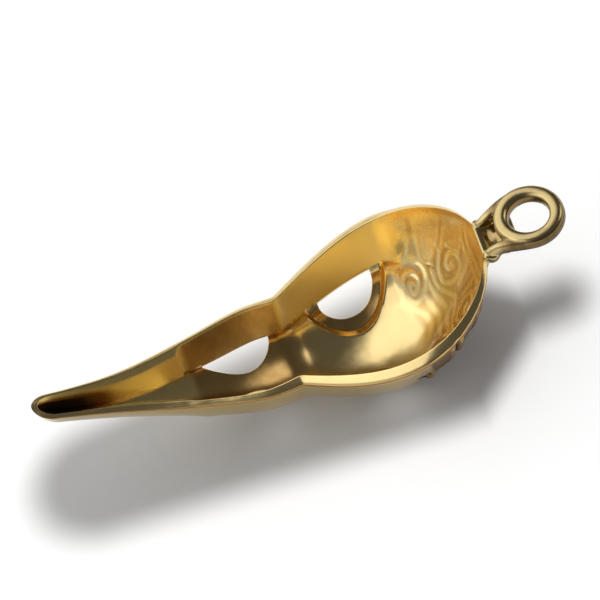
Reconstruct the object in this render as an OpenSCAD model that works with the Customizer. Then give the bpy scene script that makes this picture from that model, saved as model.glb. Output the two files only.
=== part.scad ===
// Hollow-backed bird skull mask charm with a hanging ring.
// The beak points along -X, the open back faces +Z, and the origin is the middle of the ring hole.

/* [Beak] */
// Length from the beak tip to the brow crease
beak_length = 20.9; // [16:0.1:28]
// Width just behind the rounded tip
tip_w = 2.5; // [2:0.1:4]
// Length over which the tip is rounded
tip_round = 1.5; // [0.8:0.1:3]
// Depth of the beak behind its rounded tip
tip_depth = 2.1; // [1.6:0.1:3]
// Extra depth of the belly under the nostrils
nose_swell = 0.25; // [0:0.05:0.5]
// Height of the tip above the rim at the brow
tip_rise = 3.85; // [1:0.05:6]
// Width at the narrow middle of the beak
mid_w = 4; // [3:0.1:6]
// Width over the front ends of the nostrils
nostril_w = 6.9; // [5:0.1:9]
// Distance from the brow crease to the ridge ahead of the nostrils
nostril_ridge = 8; // [7.6:0.1:10]
// Length of a nostril
nostril_length = 5.8; // [3:0.1:6]
// Distance from the brow crease to the back of a nostril
nostril_back = 1.6; // [1.2:0.1:2.1]
// How far round the belly a nostril reaches, in degrees
nostril_reach = 68; // [30:1:70]

/* [Skull] */
// Width at the brow crease
brow_w = 9.2; // [8:0.1:11]
// Depth from the rim to the keel at the brow crease
brow_depth = 5; // [4.4:0.1:6]
// Greatest width
skull_w = 15.9; // [14:0.1:20]
// Greatest depth
skull_depth = 7.5; // [6:0.1:10]
// Distance from the brow crease to the greatest width
skull_front = 9.3; // [8.6:0.1:12]
// Distance from the greatest width to the back of the skull
skull_back = 8.2; // [7:0.1:10]
// Height of the rim at the neck above the rim at the brow
neck_rise = 2.85; // [1:0.05:4]
// Length of an eye opening
eye_length = 4.9; // [3:0.1:5.4]
// Distance from the brow crease to the middle of an eye
eye_middle = 5.5; // [4.6:0.05:5.6]
// How far round the belly an eye reaches, in degrees
eye_reach = 46; // [25:1:50]
// Width of the sunken lip round an eye
lip_w = 1.2; // [0.6:0.1:1.4]
// How far the lip of an eye is sunk
lip_depth = 0.45; // [0.2:0.05:0.6]

/* [Walls] */
// Thickness of the cast belly from the beak to the eyes
belly_t = 0.5; // [0.4:0.05:0.8]
// Thickness of the back of the skull behind the eyes
nape_t = 0.75; // [0.6:0.05:1]
// Width of the rim along the beak
beak_rim_w = 0.6; // [0.45:0.05:0.8]
// Width of the rim round the skull
skull_rim_w = 0.8; // [0.6:0.05:1.1]
// Thickness of the side wall at its foot
foot_t = 0.5; // [0.35:0.05:0.7]
// How much higher the foot of the side wall is inside than outside
foot_rise = 0.85; // [0.3:0.05:0.9]
// Height of the plain side wall at the ridge ahead of the nostrils
wall_h_ridge = 3.3; // [2.6:0.1:3.6]
// Height of the plain side wall at the brow crease
wall_h_brow = 3.8; // [3:0.1:4.3]
// Height of the plain side wall at the greatest width
wall_h_skull = 4.6; // [3.6:0.1:6]
// Inward lean of the side wall at the beak tip for each unit of height
tip_lean = 0.5; // [0.2:0.01:0.55]
// Inward lean of the side wall at the brow for each unit of height
brow_lean = 0.29; // [0.1:0.01:0.32]
// Inward lean of the skull's side wall for each unit of height
skull_lean = 0.42; // [0.2:0.01:0.45]

/* [Scrollwork] */
// Depth of the scrollwork's grooves
groove_depth = 0.4; // [0.1:0.05:0.5]
// Width of a raised rib
rib_w = 0.8; // [0.4:0.05:1]
// Number of lobes hanging from the rim on each side
lobes = 4; // [2:1:5]
// Depth of a lobe, in degrees below the rim
lobe_reach = 27; // [15:1:35]
// Radius of the large spiral low on each side
low_spiral_r = 2.3; // [1.5:0.1:3]
// Radius of the small spiral beside the neck
neck_spiral_r = 1.7; // [1:0.1:2.2]
// Distance between the turns of a spiral
spiral_pitch = 1.4; // [1:0.05:1.8]

/* [Neck and ring] */
// Width of the neck at the skull
neck_w = 4.4; // [3.6:0.1:5.4]
// Distance from the back of the neck's collar to the middle of the ring
neck_length = 4.4; // [4:0.1:6]
// Outer diameter of the ring
ring_d = 5.8; // [5:0.1:7]
// Diameter of the ring hole
hole_d = 3.3; // [2:0.1:3.6]
// Thickness of the ring
ring_t = 1.3; // [0.8:0.05:1.8]
// Bevel on the ring's edges
ring_bevel = 0.3; // [0.1:0.05:0.35]
// Height of the middle of the ring above the rim at the brow
ring_rise = 3.25; // [2.5:0.05:4]
// Width over the two rails where they meet the ring
rails_w = 3.8; // [3:0.1:4.4]
// Width of each rail along the neck
rail_w = 0.75; // [0.5:0.05:1]
// Height of the rails' crest above the top of the ring
rail_crest = 0.2; // [0:0.05:0.5]
// Height of the channel floor above the collar's axis
floor_h = 0.4; // [0.2:0.05:0.7]

/* [Hidden] */
gold = [0.83, 0.66, 0.3];
old_gold = [0.62, 0.46, 0.18];

// Places along the length, with 0 at the brow crease
x_tip = -beak_length;
x_ridge = -nostril_ridge;
x_widest = skull_front;
neck_share = neck_w / skull_w;
x_neck = skull_front + skull_back * sqrt(1 - neck_share * neck_share);
x_ring = x_neck + neck_length;
// Angles along a section, from the foot of the wall to the keel
keel_turn = 90;
crown_turn = 62;
tip_start = 2;

function smooth(from, to, x) =
    let (t = min(1, max(0, (x - from) / (to - from)))) t * t * (3 - 2 * t);
function mix(a, b, t) = a + (b - a) * t;
function sqr(x) = x * x;
function steps(n, from = 0) = [for (i = [from : n]) i / n];

// Smooth curve through a short list of [place, value] points
function span(p, x, i = 0) = i >= len(p) - 2 || x <= p[i + 1][0] ? i : span(p, x, i + 1);
function rise(p, a, b) = (p[b][1] - p[a][1]) / (p[b][0] - p[a][0]);
function slope(p, i) = rise(p, max(i - 1, 0), min(i + 1, len(p) - 1));
function curve(p, x) =
    let (i = span(p, x))
    let (h = p[i + 1][0] - p[i][0])
    let (t = (x - p[i][0]) / h)
    let (held = mix(p[i][1], p[i + 1][1], t * t * (3 - 2 * t)))
    held + h * t * (1 - t) * (slope(p, i) * (1 - t) - slope(p, i + 1) * t);

// Rim of the beak and the skull seen from the open side
mid_from_tip = beak_length / 3;
taper_from_tip = tip_round + 1;
tip_flare = 1.1;
brow_shoulder = 3.2;
beak_plan = [
    [x_tip, tip_w / 2], [x_tip + taper_from_tip, tip_w / 2 * tip_flare], [x_tip + mid_from_tip, mid_w / 2],
    [x_ridge, nostril_w / 2], [-brow_shoulder, brow_w / 2], [0, brow_w / 2]];
function skull_half(x) = x < x_widest
    ? mix(brow_w, skull_w, sin(keel_turn * x / skull_front)) / 2
    : skull_w / 2 * sqrt(max(0, 1 - sqr((x - x_widest) / skull_back)));
function half_width(x) = x < 0 ? curve(beak_plan, x) : skull_half(x);

// Height of the rim, which dips at the brow
tip_bend = 2.1;
function rim_height(x) = x < 0
    ? tip_rise * pow(-x / beak_length, tip_bend)
    : neck_rise * sqr(x / x_neck);

// Depth from the rim to the keel
crown_swell = 0.7;
nape_close = 0.65;
function skull_deep(x) = x < x_widest
    ? mix(brow_depth, skull_depth, pow(sin(keel_turn * x / skull_front), crown_swell))
    : skull_depth * pow(max(0, 1 - sqr((x - x_widest) / skull_back)), nape_close);
nose_run = nostril_ridge + 1.5;
function swell(x) = x > -nose_run ? nose_swell * sqr(sin(180 * x / nose_run)) : 0;
function depth(x) = x < 0 ? mix(brow_depth, tip_depth, -x / beak_length) + swell(x) : skull_deep(x);

// Height of the plain side wall
tip_wall_share = 0.55;
eye_wall_share = 0.7;
wall_plan = [
    [x_tip, tip_depth * tip_wall_share], [x_ridge, wall_h_ridge], [0, wall_h_brow],
    [eye_middle, mix(wall_h_brow, wall_h_skull, eye_wall_share)], [x_widest, wall_h_skull]];
function wall_height(x) = x < x_widest
    ? curve(wall_plan, x)
    : wall_h_skull * skull_deep(x) / skull_depth;

// One station of the shell: place, half width, foot half width, rim height, wall height, depth
function tip_share(x, r) = x >= r ? 1 : sqrt(max(0, 1 - sqr(1 - x / r)));
function lean(x) = x < 0
    ? mix(brow_lean, tip_lean, max(0, (x - x_ridge) / (x_tip - x_ridge)))
    : mix(brow_lean, skull_lean, min(1, x / x_widest));
function rim_width(x) = mix(beak_rim_w, skull_rim_w, smooth(x_ridge, x_widest, x));
function foot_half(x) = half_width(x) - lean(x) * wall_height(x);
function outer_station(x) =
    let (k = tip_share(x - x_tip, tip_round))
    [x, half_width(x) * k, foot_half(x) * k, rim_height(x), wall_height(x) * k, depth(x) * k];
inner_run = 2.5;
least_wall = 0.15;
// The back of the skull slopes away, so its wall is filled out along the sections
nape_fill = 0.6;
function fill(x) = 1 + nape_fill * sqr(max(0, x - x_widest) / skull_back);
function shell_t(x) = mix(belly_t, nape_t, smooth(eye_middle, x_widest, x)) * fill(x);
function inner_station(x) =
    let (xi = x + belly_t * (1 - smooth(0, inner_run, x - x_tip)))
    let (k = tip_share(xi - x_tip - belly_t, tip_round - belly_t / 2))
    let (w = max(least_wall, wall_height(xi) - foot_rise))
    let (a = half_width(xi) - rim_width(xi) * fill(xi), f = foot_half(xi) - foot_t)
    [xi, a * k, f * k, rim_height(xi), w * k, (depth(xi) - shell_t(xi)) * k];

// The belly starts part way in under the foot of the wall, so the foot overhangs the openings
ledge = 0.45;
ledge_run = 1.2;
function ledge_share(x) =
    ledge * smooth(x_ridge, x_ridge + ledge_run, x) * (1 - smooth(x_widest - ledge_run, x_widest, x));
function belly_station(x) =
    let (o = outer_station(x), n = inner_station(x), t = ledge_share(x))
    [x, o[1], mix(o[2], n[2], t), o[3], mix(o[4], n[4], t), o[5]];

// A point on the straight side wall, from 0 at the rim to 1 at its foot
function wall_point(s, share) = [s[0], mix(s[1], s[2], share), s[3] - share * s[4]];
// A point on the belly, from 0 at the foot of the wall to 90 at the keel
function belly_point(s, turn) =
    [s[0], s[2] * cos(turn), s[3] - s[4] - (s[5] - s[4]) * sin(turn)];
// Positions run from 0 at the rim to 1 at the foot and 2 at the keel
function shell_point(s, v) = v < 1 ? wall_point(s, v) : belly_point(s, (v - 1) * keel_turn);
// Behind its greatest width the skull turns into a round bowl
bowl_run = 2.5;
bowl_fall = 1.2;
function bowl_point(s, v) =
    [s[0], s[1] * pow(cos(v * keel_turn / 2), bowl_fall), s[3] - s[5] * sin(v * keel_turn / 2)];
function nape_point(s, v) =
    mix(shell_point(s, v), bowl_point(s, v), smooth(0, bowl_run, s[0] - x_widest));

// Half-moon openings, as the angle of their lower edge at each station
eye_start = eye_middle - eye_length / 2;
eye_end = eye_middle + eye_length / 2;
eye_round = 2.2;
function eye_edge(x) =
    eye_reach * pow(max(0, 1 - pow(abs(x - eye_middle) / (eye_length / 2), eye_round)), 1 / eye_round);
nostril_skew = 1.25;
nostril_round = 0.45;
function nostril_edge(x) =
    let (s = min(1, max(0, (x + nostril_back + nostril_length) / nostril_length)))
    nostril_reach * pow(max(0, sin(180 * pow(s, nostril_skew))), nostril_round);
// Share of the lip's sinking at a station and an angle
lip_start = 0.55;
lip_turn = 10;
lip_growth = 1 + min(lip_w, x_widest - eye_end) / (eye_length / 2);
function lip_share(x, turn) =
    let (across = (x - eye_middle) / (eye_length / 2 * lip_growth))
    let (down = turn / (eye_reach * lip_growth))
    (1 - smooth(lip_start, 1, norm([across, down]))) * smooth(0, lip_turn, turn);
function sunk_point(s, x, turn) =
    belly_point(s, turn) - [0, cos(turn), -sin(turn)] * lip_depth * lip_share(x, turn);

// Scrollwork on the back of the skull: lobes from the rim and two spirals on each side
bowl = [x_widest, 0, rim_height(x_widest)];
bowl_r = skull_w / 2;
lobe_front = 14;
lobe_back = 62;
lobe_share = 0.8;
lobe_w = (lobe_back - lobe_front) / lobes * lobe_share;
// Middles of the spirals, as the angle round from the side and the angle below the rim
low_spiral = [25, 51];
neck_spiral = [63, 36];
function around(p) =
    [atan2(p[0] - bowl[0], p[1]), asin(max(-1, min(1, (bowl[2] - p[2]) / norm(p - bowl))))];
function on_bowl(g) = bowl + bowl_r * [sin(g[0]) * cos(g[1]), cos(g[0]) * cos(g[1]), -sin(g[1])];
function rib(d) = exp(-sqr(2 * d / rib_w));
function arc_mm(turn) = bowl_r * turn * PI / 180;
function lobe_rib(g, at) =
    let (r = arc_mm(lobe_w) / 2)
    let (across = arc_mm(g[0] - at) * cos(g[1]), down = max(0, arc_mm(g[1] - lobe_reach) + r))
    rib(norm([across, down]) - r);
function spiral_rib(p, g, r, hand) =
    let (side = [cos(g[0]), -sin(g[0]), 0], down = cross(on_bowl(g) - bowl, side) / bowl_r)
    let (q = [(p - on_bowl(g)) * side, (p - on_bowl(g)) * down])
    let (turns = norm(q) / spiral_pitch - hand * atan2(q[1], q[0]) / 360)
    norm(q) > r ? 0 : rib(abs(turns - round(turns)) * spiral_pitch);
function lobe_ribs(g) =
    max([for (i = [0 : lobes - 1]) lobe_rib(g, mix(lobe_front, lobe_back, (i + 0.5) / lobes))]);
function scroll_ribs(p) =
    let (g = around(p))
    max(lobe_ribs(g), spiral_rib(p, low_spiral, low_spiral_r, 1),
        spiral_rib(p, neck_spiral, neck_spiral_r, -1));
// The ground between the ribs is sunk, and runs out at the panel's edges
panel_edge = 0.9;
neck_edge = 1.6;
rim_edge = 0.25;
keel_edge = 0.2;
function panel_share(s, v) =
    smooth(0, panel_edge, s[0] - x_widest) * smooth(0, neck_edge, x_neck - s[0])
    * smooth(0, rim_edge, v) * smooth(0, keel_edge, 2 - v);
function scroll_point(s, v) =
    let (p = nape_point(s, v))
    let (out = (p - bowl) / norm(p - bowl))
    p - out * groove_depth * panel_share(s, v) * (1 - scroll_ribs(p));

// A closed patch of the shell between an outer and an inner grid of points
function grid_faces(rows, columns, start, turned) = [
    for (i = [0 : rows - 2], j = [0 : columns - 2])
        let (a = start + i * columns + j, b = a + 1, c = a + columns, d = c + 1)
        each turned ? [[a, c, b], [b, c, d]] : [[a, b, c], [b, d, c]]];
function edge_faces(line, shift, turned) = [
    for (i = [0 : len(line) - 2])
        let (a = line[i], b = line[i + 1])
        each turned ? [[a, a + shift, b], [b, a + shift, b + shift]]
            : [[a, b, a + shift], [b, b + shift, a + shift]]];
module patch(outer, inner) {
    rows = len(outer);
    columns = len(outer[0]);
    count = rows * columns;
    first = [for (j = [0 : columns - 1]) j];
    last = [for (j = [0 : columns - 1]) (rows - 1) * columns + j];
    left = [for (i = [0 : rows - 1]) i * columns];
    right = [for (i = [0 : rows - 1]) i * columns + columns - 1];
    polyhedron(
        [for (r = outer) each r, for (r = inner) each r],
        concat(
            grid_faces(rows, columns, 0, false), grid_faces(rows, columns, count, true),
            edge_faces(first, count, true), edge_faces(last, count, false),
            edge_faces(left, count, false), edge_faces(right, count, true)));
}

function other_side(p) = [p[0], -p[1], p[2]];
// Rows right round the shell, from one side over the keel to the other
function both_sides(half) = concat(
    [for (i = [0 : len(half) - 1]) half[i]],
    [for (i = [len(half) - 2 : -1 : 0]) other_side(half[i])]);

// Stations
tip_stations = [for (k = steps(7)) x_tip + tip_round * (1 - cos(mix(tip_start, 90, k)))];
beak_stations = [for (k = steps(10, 1)) mix(x_tip + tip_round, x_ridge, k)];
nostril_front = nostril_back + nostril_length;
nose_stations = concat(
    [x_ridge], [for (k = steps(14)) -mix(nostril_front, nostril_back, (1 - cos(180 * k)) / 2)],
    [-nostril_back / 2, 0]);
brow_stations = concat(
    [for (i = [0 : 2]) eye_start * i / 3],
    [for (k = steps(14)) mix(eye_start, eye_end, (1 - cos(180 * k)) / 2)],
    [for (k = steps(3, 1)) mix(eye_end, x_widest, k)]);
nape_turn = asin((x_neck - x_widest) / skull_back);
nape_stations = [for (k = steps(30)) x_widest + skull_back * sin(nape_turn * k)];

wall_rows = steps(3);
belly_rows = steps(8);
panel_rows = [for (k = steps(36)) 2 * k];
function wall_grid(stations) = [for (s = stations) [for (v = wall_rows) wall_point(s, v)]];
function outer_stations(xs) = [for (x = xs) outer_station(x)];
function inner_stations(xs) = [for (x = xs) inner_station(x)];

module at_ring() { translate([-x_ring, 0, -ring_rise]) children(); }
module mirrored(side) { if (side < 0) mirror([0, 1, 0]) children(); else children(); }

module beak() {
    rows = concat(steps(3), [for (k = steps(6, 1)) 1 + k]);
    xs = concat(tip_stations, beak_stations);
    function grid(stations) = [for (s = stations) both_sides([for (v = rows) shell_point(s, v)])];
    color(gold) at_ring() patch(grid(outer_stations(xs)), grid(inner_stations(xs)));
}

module nose_bridge() {
    function row(s, x) = [for (k = belly_rows) belly_point(s, mix(nostril_edge(x), keel_turn, k))];
    outer = [for (x = nose_stations) both_sides(row(belly_station(x), x))];
    inner = [for (x = nose_stations) both_sides(row(inner_station(x), x))];
    color(gold) at_ring() patch(outer, inner);
}

module side_wall(stations, side) {
    color(gold) at_ring() mirrored(side)
        patch(wall_grid(outer_stations(stations)), wall_grid(inner_stations(stations)));
}
module nostril_wall_left() { side_wall(nose_stations, -1); }
module nostril_wall_right() { side_wall(nose_stations, 1); }
module brow_wall_left() { side_wall(brow_stations, -1); }
module brow_wall_right() { side_wall(brow_stations, 1); }

module eye_socket(side) {
    function row(s, x) = [for (k = belly_rows) sunk_point(s, x, mix(eye_edge(x), crown_turn, k))];
    outer = [for (x = brow_stations) row(belly_station(x), x)];
    inner = [for (x = brow_stations) row(inner_station(x), x)];
    color(old_gold) at_ring() mirrored(side) patch(outer, inner);
}
module eye_socket_left() { eye_socket(-1); }
module eye_socket_right() { eye_socket(1); }

module crown() {
    function row(s, x) =
        both_sides([for (k = steps(4)) sunk_point(s, x, mix(crown_turn, keel_turn, k))]);
    outer = [for (x = brow_stations) row(belly_station(x), x)];
    inner = [for (x = brow_stations) row(inner_station(x), x)];
    color(gold) at_ring() patch(outer, inner);
}

module scroll_panel(side) {
    outer = [for (x = nape_stations) [for (v = panel_rows) scroll_point(outer_station(x), v)]];
    inner = [for (x = nape_stations) [for (v = panel_rows) nape_point(inner_station(x), v)]];
    color(old_gold) at_ring() mirrored(side) patch(outer, inner);
}
module scroll_panel_left() { scroll_panel(-1); }
module scroll_panel_right() { scroll_panel(1); }

// Beaded collar under the neck, with two rails and a channel between them on top
collar_drop = 0.1;
collar_axis = neck_rise - collar_drop;
bead = 0.15;
// Share of the collar's length, and the step in beads from the neck's width
beads = [[0, 0], [0.15, 1], [0.3, 1], [0.42, -1], [0.55, -1], [0.65, -3], [0.8, -5]];
module collar() {
    end = neck_length - hole_d / 2;
    translate([x_neck, 0, collar_axis]) rotate([0, 90, 0]) rotate_extrude($fn = 64) polygon(concat(
        [[0, 0]], [for (b = beads) [neck_w / 2 + bead * b[1], end * b[0]]], [[0, end]]));
}
// The rails draw in from the skull's rim, rise to a crest and run out into the ring
crest_at = neck_length / 3;
rail_places = [for (k = steps(10)) neck_length * k];
rail_plan = [[0, neck_w / 2], [crest_at, rails_w / 2], [neck_length, rails_w / 2]];
ring_top = ring_rise + ring_t / 2;
rail_side = [[0, neck_rise], [crest_at, ring_top + rail_crest], [neck_length, ring_top]];
module rail_strip() {
    polygon(concat(
        [for (x = rail_places) [x, curve(rail_plan, x)]],
        [for (i = [len(rail_places) - 1 : -1 : 0])
            [rail_places[i], curve(rail_plan, rail_places[i]) - rail_w]]));
}
module rails() {
    translate([x_neck, 0, 0]) intersection() {
        translate([0, neck_w / 2, 0]) rotate([90, 0, 0]) linear_extrude(neck_w) polygon(concat(
            [[neck_length, collar_axis], [0, collar_axis]],
            [for (x = rail_places) [x, curve(rail_side, x)]]));
        for (side = [0, 1]) mirror([0, side, 0]) linear_extrude(2 * ring_top) rail_strip();
    }
}
module neck_collar() {
    reach = 2 * neck_w;
    color(gold) at_ring() difference() {
        union() {
            intersection() {
                collar();
                translate([x_neck, -reach / 2, collar_axis + floor_h - reach])
                    cube([reach, reach, reach]);
            }
            rails();
        }
        translate([x_ring, 0, -reach]) cylinder(d = ring_d, h = 3 * reach, $fn = 96);
    }
}

module hanging_ring() {
    inner = hole_d / 2;
    outer = ring_d / 2;
    b = ring_bevel;
    h = ring_t / 2;
    color(gold) rotate_extrude($fn = 96) polygon([
        [inner, -h + b], [inner + b, -h], [outer - b, -h], [outer, -h + b],
        [outer, h - b], [outer - b, h], [inner + b, h], [inner, h - b]]);
}

beak();
nose_bridge();
nostril_wall_left();
nostril_wall_right();
brow_wall_left();
brow_wall_right();
eye_socket_left();
eye_socket_right();
crown();
scroll_panel_left();
scroll_panel_right();
neck_collar();
hanging_ring();
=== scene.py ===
"""Gold-plated bird skull mask charm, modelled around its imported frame."""
import math

import bpy
import numpy as np
from mathutils import Matrix, Vector


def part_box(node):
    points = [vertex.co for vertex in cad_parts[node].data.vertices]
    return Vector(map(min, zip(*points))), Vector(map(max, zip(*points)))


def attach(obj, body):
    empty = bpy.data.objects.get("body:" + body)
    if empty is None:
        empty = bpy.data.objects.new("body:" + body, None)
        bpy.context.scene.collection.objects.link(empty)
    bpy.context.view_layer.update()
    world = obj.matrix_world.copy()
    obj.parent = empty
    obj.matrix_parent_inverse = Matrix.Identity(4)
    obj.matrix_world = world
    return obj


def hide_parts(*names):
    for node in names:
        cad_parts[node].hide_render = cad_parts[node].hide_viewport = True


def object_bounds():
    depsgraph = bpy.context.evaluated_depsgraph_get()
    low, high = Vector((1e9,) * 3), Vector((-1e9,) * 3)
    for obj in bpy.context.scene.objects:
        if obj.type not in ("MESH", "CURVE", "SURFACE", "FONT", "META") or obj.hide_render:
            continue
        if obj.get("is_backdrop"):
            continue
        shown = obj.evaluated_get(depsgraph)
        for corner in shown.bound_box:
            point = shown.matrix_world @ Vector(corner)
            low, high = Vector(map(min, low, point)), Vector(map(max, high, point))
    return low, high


bl_info = {
    "name": "Bird skull mask charm",
    "version": (1, 0, 0),
    "blender": (4, 5, 0),
    "location": "View3D > Sidebar > Charm",
    "description": "Models the casting with its scrollwork, neck and ring, and sets the stage",
    "category": "Object",
}

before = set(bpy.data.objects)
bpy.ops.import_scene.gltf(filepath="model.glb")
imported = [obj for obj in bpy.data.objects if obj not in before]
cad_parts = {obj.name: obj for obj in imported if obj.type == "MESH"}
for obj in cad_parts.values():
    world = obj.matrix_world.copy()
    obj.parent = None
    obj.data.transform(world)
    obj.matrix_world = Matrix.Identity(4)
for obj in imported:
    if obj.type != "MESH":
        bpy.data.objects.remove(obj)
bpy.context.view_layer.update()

# Pieces are modelled in millimetres about the brow crease, then moved to the frame in metres
MM = 0.001


def node_box(node):
    """Lowest and highest corner of a node in millimetres."""
    low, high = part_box(node)
    return np.array(low) / MM, np.array(high) / MM


# Places along the length, from the nodes' own boxes, with 0 at the brow crease
X_RING = -node_box("brow_wall_left")[0][0]
X_TIP = node_box("beak")[0][0] + X_RING
X_RIDGE = node_box("nose_bridge")[0][0] + X_RING
X_WIDE = node_box("crown")[1][0] + X_RING
X_NECK = node_box("scroll_panel_left")[1][0] + X_RING
SKULL_W = 2 * node_box("scroll_panel_right")[1][1]
RING_D = 2 * node_box("hanging_ring")[1][1]
RING_T = 2 * node_box("hanging_ring")[1][2]
RING_RISE = 3.25
HOLE_D = 3.3

# Sizes of the shell, in millimetres and degrees
BEAK_L = -X_TIP
SKULL_BACK = 8.2
TIP_W, TIP_ROUND, TIP_DEPTH, TIP_RISE, TIP_CURL = 2.5, 1.5, 2.1, 3.85, 2.1
MID_W, NOSTRIL_W, BROW_W, BROW_RUN = 4.0, 6.9, 9.2, 3.2
BROW_DEPTH, SKULL_DEPTH, NOSE_SWELL, NOSE_RUN = 5.0, 7.5, 0.25, 1.5
NECK_RISE = 2.85
NOSTRIL_L, NOSTRIL_BACK, NOSTRIL_REACH = 5.8, 1.6, 68.0
EYE_L, EYE_MID, EYE_REACH = 4.9, 5.5, 46.0
NOSTRIL_FRONT = -NOSTRIL_BACK - NOSTRIL_L
EYE_FRONT, EYE_BACK = EYE_MID - EYE_L / 2, EYE_MID + EYE_L / 2
LIP_W, LIP_DEPTH, LIP_START = 1.2, 0.45, 1.5
BELLY_T, NAPE_T, FOOT_T, FOOT_RISE = 0.5, 0.75, 0.5, 0.85
TIP_FOOT_T, TIP_FOOT_RISE, TIP_FILL, LEAST_WALL = 0.28, 0.2, 2.5, 0.15
BEAK_RIM_W, SKULL_RIM_W, RIM_BEVEL = 0.5, 0.84, 0.55
WALL_TIP, WALL_RIDGE, WALL_BROW, WALL_SKULL = 0.55 * TIP_DEPTH, 3.3, 3.8, 4.6
TIP_LEAN, BROW_LEAN, SKULL_LEAN = 0.5, 0.29, 0.42
LEDGE, LEDGE_RUN = 0.45, 1.2
BOWL_RUN, BOWL_FALL = 2.5, 1.2
NAPE_FILL = 0.6
# How far the brow crease is rounded at the rim, at the wall's foot and at the keel
RIM_SOFT, FOOT_SOFT, KEEL_SOFT = 0.3, 0.5, 0.9
# The nose's inner walls stand steeper, wider at the rim and narrower at the foot
NOSE_RIM, NOSE_FOOT = 0.08, 0.24
# Outer walls bulge by this share of their height
WALL_BULGE = 0.05
# The beak's side is rounded from this share of the wall's height to this turn of the belly
ROUND_WALL, ROUND_BELLY = 0.45, 55.0
# The scrollwork starts here, and its print on the inside fades in between the next two places
CARVE_START, PRINT_START, PRINT_FULL = 7.5, 9.4, 10.6
# Numbers of rows down the outer wall, up the inner wall and across half of the belly
OUTSIDE_ROWS, INSIDE_ROWS, BELLY_ROWS = 37, 27, 53
# An opening is shut where its edge is under the first angle, and has full rounding from the second
SHUT, HOLE_FULL = 1e-3, 12
TINY = 1e-9
# Points closer than these are merged, and edges shorter than a sliver are dissolved
SKULL_WELD, KEEL_WELD, NECK_WELD, SLIVER = 0.0002, 0.01, 0.0005, 0.0005

# Tones, from 0 for clean plating through brown to 1 for the darkest. On the scrollwork and its print inside they are
# antiquing; on the rim's outer edge, the beak's channel, the nose, the eye's lip and the ring's sides and bore they
# are painted shade
RIM_TONES = (0, 0, 0.3, 0.8, 0.7)
PRINT_TONE, CHANNEL_TONE, EYE_LIP_TONE = 0.35, 0.95, 0.42
NOSE_WALL_TONES, NOSE_FLOOR_TONE = (0.5, 0.38), 0.42
NECK_TONE, RING_SIDE_TONE, RING_BORE_TONE = 0.15, 0.65, 0.55


def smooth(low, high, x):
    """Smooth step from 0 at low to 1 at high."""
    t = np.clip((x - low) / (high - low), 0, 1)
    return t * t * (3 - 2 * t)


def mix(a, b, t):
    """The value a share t of the way from a to b."""
    return a + (b - a) * t


def curve(points, x):
    """Smooth curve through a short list of (place, value) points."""
    px, py = np.array(points, float).T
    slopes = np.zeros(len(py))
    slopes[1:-1] = (py[2:] - py[:-2]) / (px[2:] - px[:-2])
    slopes[0] = (py[1] - py[0]) / (px[1] - px[0])
    slopes[-1] = (py[-1] - py[-2]) / (px[-1] - px[-2])
    i = np.clip(np.searchsorted(px, x) - 1, 0, len(px) - 2)
    h = px[i + 1] - px[i]
    t = (x - px[i]) / h
    held = mix(py[i], py[i + 1], t * t * (3 - 2 * t))
    return held + h * t * (1 - t) * (slopes[i] * (1 - t) - slopes[i + 1] * t)


def spline(points, steps):
    """A smooth line through a few points, each span cut into equal steps."""
    p = np.vstack([2 * points[0] - points[1], points, 2 * points[-1] - points[-2]])
    t = np.linspace(0, 1, steps, endpoint=False)[:, None]
    spans = []
    for a, b, c, d in zip(p, p[1:], p[2:], p[3:]):
        square, cube = 2 * a - 5 * b + 4 * c - d, 3 * b - a - 3 * c + d
        spans.append(0.5 * (2 * b + (c - a) * t + square * t**2 + cube * t**3))
    return np.vstack(spans + [points[-1:]])


# Half width of the beak and height of the side walls along the length
BEAK_PLAN = [
    (X_TIP, TIP_W / 2), (X_TIP + TIP_ROUND + 1, TIP_W / 2 * 1.1), (X_TIP + BEAK_L / 3, MID_W / 2),
    (X_RIDGE, NOSTRIL_W / 2), (-BROW_RUN, BROW_W / 2), (0, BROW_W / 2)]
WALL_PLAN = [
    (X_TIP, WALL_TIP), (X_RIDGE, WALL_RIDGE), (0, WALL_BROW),
    (EYE_MID, mix(WALL_BROW, WALL_SKULL, 0.7)), (X_WIDE, WALL_SKULL)]


def front_turn(x):
    """How far the front of the skull has opened, from 0 at the brow to 1 at its greatest width."""
    return np.sin(np.pi / 2 * np.clip(x / X_WIDE, 0, 1))


def back_share(x):
    """How much of the skull is left behind its greatest width."""
    return np.clip(1 - np.square(np.maximum(0, x - X_WIDE) / SKULL_BACK), 0, 1)


def half_width(x):
    """Half the width at the rim."""
    front = mix(BROW_W, SKULL_W, front_turn(x)) / 2
    back = SKULL_W / 2 * np.sqrt(back_share(x))
    return np.where(x < 0, curve(BEAK_PLAN, x), np.where(x < X_WIDE, front, back))


def rim_height(x):
    """Height of the rim, which rises to the tip and to the neck."""
    beak = TIP_RISE * np.power(np.maximum(0, -x) / BEAK_L, TIP_CURL)
    return np.where(x < 0, beak, NECK_RISE * np.square(x / X_NECK))


def depth(x):
    """Depth of the keel below the rim."""
    run = NOSE_RUN - X_RIDGE
    nose = np.where(x > -run, NOSE_SWELL * np.square(np.sin(np.pi * x / run)), 0)
    front = mix(BROW_DEPTH, SKULL_DEPTH, np.power(front_turn(x), 0.7))
    back = SKULL_DEPTH * np.power(back_share(x), 0.65)
    beak = mix(BROW_DEPTH, TIP_DEPTH, -x / BEAK_L) + nose
    return np.where(x < 0, beak, np.where(x < X_WIDE, front, back))


def wall_height(x):
    """Height of the side wall."""
    return np.where(x < X_WIDE, curve(WALL_PLAN, x), WALL_SKULL * depth(x) / SKULL_DEPTH)


def lean(x):
    """How far the side wall leans in for each millimetre of its height."""
    beak = mix(BROW_LEAN, TIP_LEAN, np.maximum(0, (x - X_RIDGE) / (X_TIP - X_RIDGE)))
    return np.where(x < 0, beak, mix(BROW_LEAN, SKULL_LEAN, np.minimum(1, x / X_WIDE)))


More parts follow.
